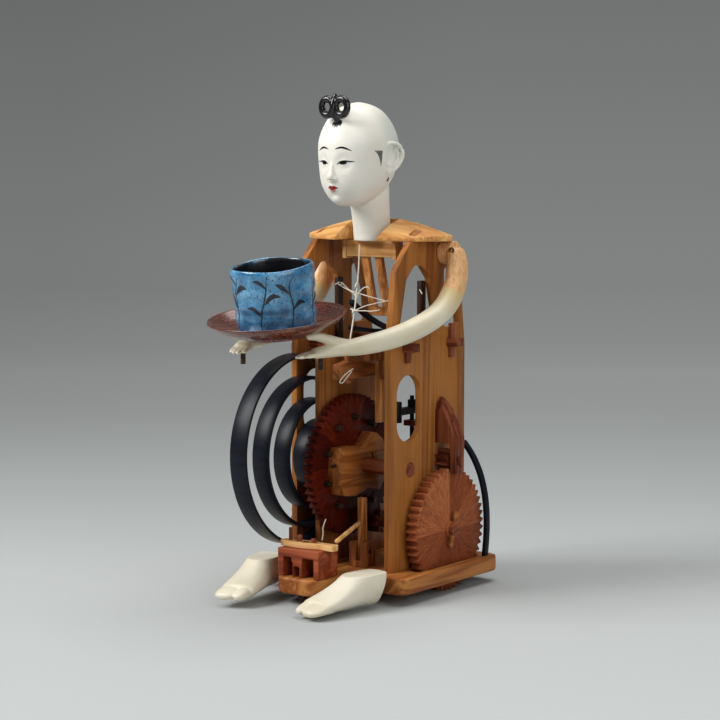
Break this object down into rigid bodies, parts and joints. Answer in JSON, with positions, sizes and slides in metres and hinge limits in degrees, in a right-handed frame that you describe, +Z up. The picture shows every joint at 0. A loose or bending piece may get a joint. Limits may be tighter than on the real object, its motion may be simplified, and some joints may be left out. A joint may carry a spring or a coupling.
{
  "type": "karakuri tea-serving doll",
  "caption": "Wooden tea-serving clockwork doll without its robe: white head and hands, cup on a tray, spring, toothed wheels and steering between upright plates.",
  "frame": {"origin": "on the floor, under the neck's centre line", "axes": "+Z up, -Y the way the doll faces, +X the doll's left"},
  "size_m": [0.135, 0.2332, 0.36],
  "materials": {
    "cherry": "oiled cherry-coloured wood",
    "pale_wood": "pale boxwood",
    "red_wood": "reddish hardwood",
    "wheel_wood": "deep red quince wood",
    "dark_wood": "dark bamboo and ebony",
    "whalebone": "black semi-gloss baleen",
    "iron": "blackened iron",
    "gofun": "white shell lacquer on wood",
    "arm_skin": "white shell lacquer, bare wood above the elbow",
    "black_lacquer": "black lacquer",
    "red_lacquer": "red-brown lacquer on turned wood",
    "glaze": "speckled blue glaze",
    "thread": "white twisted thread"
  },
  "bodies": {
    "frame": {"left_plate": "cherry", "right_plate": "cherry", "middle_plate": "cherry", "shoulder_board": "cherry", "base_board": "cherry", "front_cross_bar": "red_wood", "rear_cross_bar": "red_wood", "wedge_keys": "red_wood", "neck_hangers": "cherry", "bearing_handle": "cherry", "verge_bearings": "red_wood", "mainspring": "whalebone", "spring_post": "iron", "turntable_block": "red_wood", "lever_bracket": "red_wood", "pivot_pins": "iron", "stop_post": "red_wood", "arm_sticks": "dark_wood", "cord_springs": "whalebone", "rear_strip": "whalebone", "pull_cord": "thread", "cross_cord": "thread"},
    "train": {"main_arbor": "red_wood", "first_wheel": "wheel_wood", "train_pegs": "dark_wood", "steering_cam": "pale_wood"},
    "axle": {"drive_axle": "red_wood", "axle_pinion": "red_wood", "left_drive_wheel": "wheel_wood", "right_drive_wheel": "wheel_wood", "wheel_wedges": "pale_wood"},
    "governor": {"governor_arbor": "red_wood", "outboard_pinion": "red_wood", "crown_wheel": "wheel_wood"},
    "verge": {"verge_staff": "iron", "foliot": "iron"},
    "steering": {"steering_fork": "red_wood", "front_axle": "iron", "tiller_plate": "pale_wood", "tiller_pins": "red_wood"},
    "castor": {"front_wheel": "dark_wood"},
    "lever": {"steering_lever": "pale_wood"},
    "link": {"steering_rod": "pale_wood"},
    "head": {"head": "gofun", "hair_knot": "black_lacquer", "neck_bar": "cherry", "head_slats": "pale_wood"},
    "arms": {"arm_shaft": "red_wood", "left_arm": "arm_skin", "right_arm": "arm_skin", "tray": "red_lacquer", "hand_pegs": "dark_wood"},
    "cup": {"tea_cup": "glaze"},
    "stop": {"stop_lever": "red_wood", "stop_slat": "pale_wood"},
    "left_step": {"left_foot": "gofun"},
    "right_step": {"right_foot": "gofun"}
  },
  "joints": [
    {"name": "arbor_turn", "type": "hinge", "parent": "frame", "child": "train", "pos_m": [0, -0.0145, 0.0915], "axis": [1, 0, 0], "continuous": true},
    {"name": "drive_turn", "type": "hinge", "parent": "frame", "child": "axle", "pos_m": [0, 0.01869, 0.04473], "axis": [1, 0, 0], "continuous": true},
    {"name": "governor_turn", "type": "hinge", "parent": "frame", "child": "governor", "pos_m": [0, 0.02319, 0.09493], "axis": [1, 0, 0], "continuous": true},
    {"name": "verge_swing", "type": "hinge", "parent": "frame", "child": "verge", "pos_m": [0.0192, 0.02319, 0.09493], "axis": [0, 0, 1], "range_deg": [-12, 12]},
    {"name": "lever_swing", "type": "hinge", "parent": "frame", "child": "lever", "pos_m": [0, -0.027, 0.031], "axis": [1, 0, 0], "range_deg": [-12, 12]},
    {"name": "link_pivot", "type": "hinge", "parent": "lever", "child": "link", "pos_m": [0.0105, -0.027, 0.052], "axis": [1, 0, 0], "range_deg": [-12, 12]},
    {"name": "steer_turn", "type": "hinge", "parent": "frame", "child": "steering", "pos_m": [0, -0.08, 0.04], "axis": [0, 0, 1], "range_deg": [-12, 12]},
    {"name": "castor_spin", "type": "hinge", "parent": "steering", "child": "castor", "pos_m": [0, -0.08, 0.0064], "axis": [1, 0, 0], "continuous": true},
    {"name": "head_nod", "type": "hinge", "parent": "frame", "child": "head", "pos_m": [0, 0, 0.2475], "axis": [1, 0, 0], "range_deg": [-3, 8]},
    {"name": "arms_lift", "type": "hinge", "parent": "frame", "child": "arms", "pos_m": [0, 0.026, 0.246], "axis": [1, 0, 0], "range_deg": [-7, 0]},
    {"name": "cup_lift", "type": "slide", "parent": "arms", "child": "cup", "axis": [0, -0.1478, 0.989], "range_m": [0, 0.06]},
    {"name": "stop_tip", "type": "hinge", "parent": "frame", "child": "stop", "pos_m": [0.001, -0.002, 0.16], "axis": [1, 0, 0], "range_deg": [0, 7]},
    {"name": "left_foot_lift", "type": "hinge", "parent": "frame", "child": "left_step", "pos_m": [0.046, -0.066, 0.014], "axis": [1, 0, 0], "range_deg": [-12, 0]},
    {"name": "right_foot_lift", "type": "hinge", "parent": "frame", "child": "right_step", "pos_m": [-0.046, -0.066, 0.014], "axis": [1, 0, 0], "range_deg": [-12, 0]}
  ],
  "couplings": [
    {"joint": "arbor_turn", "follows": "drive_turn", "ratio": -0.14815},
    {"joint": "governor_turn", "follows": "drive_turn", "ratio": -6},
    {"joint": "link_pivot", "follows": "lever_swing", "ratio": -1},
    {"joint": "steer_turn", "follows": "lever_swing", "ratio": -0.913}
  ]
}
